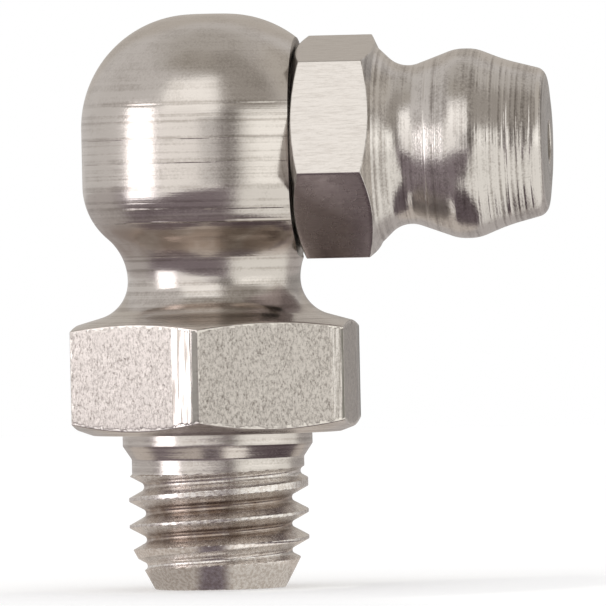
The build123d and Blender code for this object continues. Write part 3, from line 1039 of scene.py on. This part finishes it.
# %% The tent's panels
# Azimuths, elevations, colour, strength, softness of the sides and of the ends, and any slant
ALL_ROUND = (-200, 200)
TENT_PANELS = [
    (ALL_ROUND, (62, 120), "#C2BDB7", 1.0, (4, 12)),  # the roof
    ((-75, 20), (56, 80), "#B2ACA4", 1.0, (15, 8)),  # its shaded side
    ((8, 70), (14, 78), "#A8A29B", 1.0, (12, 8)),  # dull wall at the right, above the table
    ((70, 130), (20, 60), "#C9C3BB", 1.0, (12, 8)),  # paler wall further round
    ((100, 190), (-8, 20), "#A6A29F", 1.0, (8, 6)),  # the dark back
    ((150, 200), (8, 50), "#C8C1B9", 1.0, (8, 8)),  # what the small hexagon's top mirrors
    ((-200, -150), (8, 50), "#C8C1B9", 1.0, (8, 8)),  # the same, past the seam
    ((6, 28), (-30, 22), "#88827E", 1.0, (6, 6)),  # the dark opening right of the camera
    ((-46, 8), (12, 52), "#FFFCF8", 1.25, (4, 4), 0.12),  # the cream sheet's upper half
    ((-47, -10), (-20, 24), "#FCF8F4", 1.12, (4, 5), 0.15),  # its lower half
    ((25, 112), (-20, 17), "#FFFCF6", 1.0, (6, 4)),  # the white sheet at the right
    ((34, 84), (-24, 13), "#FFFDF8", 1.3, (6, 7)),  # its brightest part
]


def shell_mesh(name, radius):
    """A round shell."""
    work = bmesh.new()
    bmesh.ops.create_uvsphere(work, u_segments=48, v_segments=24, radius=radius)
    mesh = bpy.data.meshes.new(name)
    work.to_mesh(mesh)
    work.free()
    return mesh


def only_reflected(card):
    """Keeps a staged card out of sight of the camera, of the shadows and of the floor's light."""
    card.visible_camera = card.visible_diffuse = card.visible_shadow = False
    card.visible_transmission = False


tent = show(shell_mesh("tent", TENT_RADIUS))
tent.location = focus
tent.rotation_euler.z = math.radians(VIEW_AZIMUTH)
tent.data.materials.append(painted("light tent cloth", "#D9D5D2", TENT_PANELS, on_floor=False))
only_reflected(tent)

# %% [markdown]
# ## The floor, and what the metal sees of it
# The camera sees plain white paper that takes a soft shadow. The metal sees more: below the
# horizon it mirrors the tent's lower edge, the lamp's foot and the shade that the nipple itself
# throws round its thread.
# The floor lies so near that each part of the nipple sees a spot of it in another direction. So
# it can't be painted by direction, as the tent is. One card just above the paper, which only
# reflections see, is painted by azimuth and by distance in mm from the thread's axis. It also
# repeats the lower ends of the softbox and the sheets, which it would hide.

# %% The floor's panels
# Azimuths, distances in mm, colour, strength, softness of the sides and of the ends, any slant
TO_THE_EDGE = 400
FLOOR_PANELS = [
    ((-92, 20), (14, TO_THE_EDGE), "#84797D", 1.0, (12, 3)),  # the table, dark in front
    ((22, 112), (14, TO_THE_EDGE), "#FFFCF6", 0.96, (6, 3)),  # foot of the white sheet
    ((-48, 8), (109, TO_THE_EDGE), "#FCF8F4", 1.1, (3, 12), 1.44),  # foot of the cream sheet
    ((-81, -51), (40, TO_THE_EDGE), SOFTBOX_COLOUR, SOFTBOX_LEVEL, (3, 8)),  # the softbox's foot
    (ALL_ROUND, (0, 14), "#CFC6BE", 1.0, (4, 0.5)),  # bright paper behind the nipple
    ((-92, 22), (5.6, 14), "#877C80", 1.0, (8, 0.4)),  # shade in front
    ((20, 115), (5.6, 14), "#675C60", 1.0, (6, 0.3)),  # deeper shade under the head
    ((38, 115), (4.95, 6), "#675C60", 1.0, (4, 0.15)),  # which reaches further in there
    # Painted shadow: the paper round the thread's end, darker than the paper further out.
    (ALL_ROUND, (-1, 3.5), "#B3ABA4", 1.0, (4, 0.2)),  # paper round the thread's end
    ((10, 100), (-1, 3.5), "#CFC9C2", 1.0, (5, 0.2)),  # lit from the right
    ((10, 80), (3.5, 4.9), "#FFFAF4", 1.15, (5, 0.15)),  # the bright ring that the collar mirrors
    ((10, 38), (4.9, 5.5), "#FFFAF4", 1.15, (5, 0.15)),  # and its outer part
    ((-20, 6), (-1, 5.4), "#786E73", 1.0, (6, 0.3)),  # the thread's own shade, towards the camera
]

# %% White floor and its card
# Both reach that many metres out, the card lies that many mm above the paper, and the paper
# is lifted to white by that much glow
FLOOR_RADIUS, CARD_LIFT, FLOOR_GLOW = 0.30, 0.02, 0.16


def disc_mesh(name, radius):
    """A flat disc."""
    turns = np.radians(np.arange(0, 360, 5))
    points = [(radius * math.cos(turn), radius * math.sin(turn), 0) for turn in turns]
    mesh = bpy.data.meshes.new(name)
    mesh.from_pydata(points, [], [range(len(points))])
    return mesh


def studio_white():
    """White paper that takes shadows, and looks white to the camera and in the metal."""
    made = bpy.data.materials.new("white paper floor")
    made.use_nodes = True
    tree = made.node_tree
    shader = tree.nodes["Principled BSDF"]
    shader.inputs["Base Color"].default_value = linear("#F4F4F4")
    shader.inputs["Roughness"].default_value = 0.9
    rays = add(tree, "LightPath").outputs
    seen = rays["Is Camera Ray"]
    for kind in ("Is Glossy Ray", "Is Transmission Ray"):
        seen = add(tree, "Math", {0: seen, 1: rays[kind]}, operation="MAXIMUM").outputs[0]
    glow = add(tree, "Emission", {"Color": grey(1.0), "Strength": FLOOR_GLOW})
    both = add(tree, "AddShader", {0: shader.outputs[0], 1: glow.outputs[0]})
    mix = add(tree, "MixShader", {0: seen, 1: shader.outputs[0], 2: both.outputs[0]})
    tree.links.new(mix.outputs[0], tree.nodes["Material Output"].inputs["Surface"])
    return made


floor = show(disc_mesh("floor", FLOOR_RADIUS))
floor.location.z = thread_end * MM
floor.data.materials.append(studio_white())
card = show(disc_mesh("floor_card", FLOOR_RADIUS))
card.location.z = (thread_end + CARD_LIFT) * MM
card.rotation_euler.z = math.radians(VIEW_AZIMUTH)
card.data.materials.append(painted("floor card", "#BDB7B4", FLOOR_PANELS, on_floor=True))
only_reflected(card)

# %% The white room beyond the tent
world = bpy.data.worlds.new("white room")
bpy.context.scene.world = world
world.use_nodes = True
world.node_tree.nodes["Background"].inputs["Color"].default_value = grey(1.0)

# %% [markdown]
# ## The camera
# The picture was taken level with the object through a long lens, so the camera stands far away
# and nothing is seen from above. It is turned six degrees to the right of square, which shows a
# little of the head's tip side of the hexagon, and rolled by a degree and a quarter.
# The lens follows from how many millimetres the picture takes in at the object.

# %% A long lens, level with the object
PICTURE_MM, ROLL = PICTURE_PIXELS / PIXELS_PER_MM, 1.23
camera_data = bpy.data.cameras.new("camera")
camera_data.sensor_width = 36
camera_data.lens = camera_data.sensor_width * VIEW_DISTANCE / (PICTURE_MM * MM)
camera_data.clip_start = 0.01
camera = bpy.data.objects.new("camera", camera_data)
bpy.context.scene.collection.objects.link(camera)
look_back = towards(0, VIEW_ELEVATION)
turn = look_back.to_track_quat("Z", "Y").to_matrix().to_4x4()
roll = Matrix.Rotation(math.radians(-ROLL), 4, "Z")
camera.matrix_world = Matrix.Translation(focus + look_back * VIEW_DISTANCE) @ turn @ roll
bpy.context.scene.camera = camera
bpy.context.scene.view_settings.view_transform = "Standard"
print("lens", round(camera_data.lens), "mm at", VIEW_DISTANCE, "m")
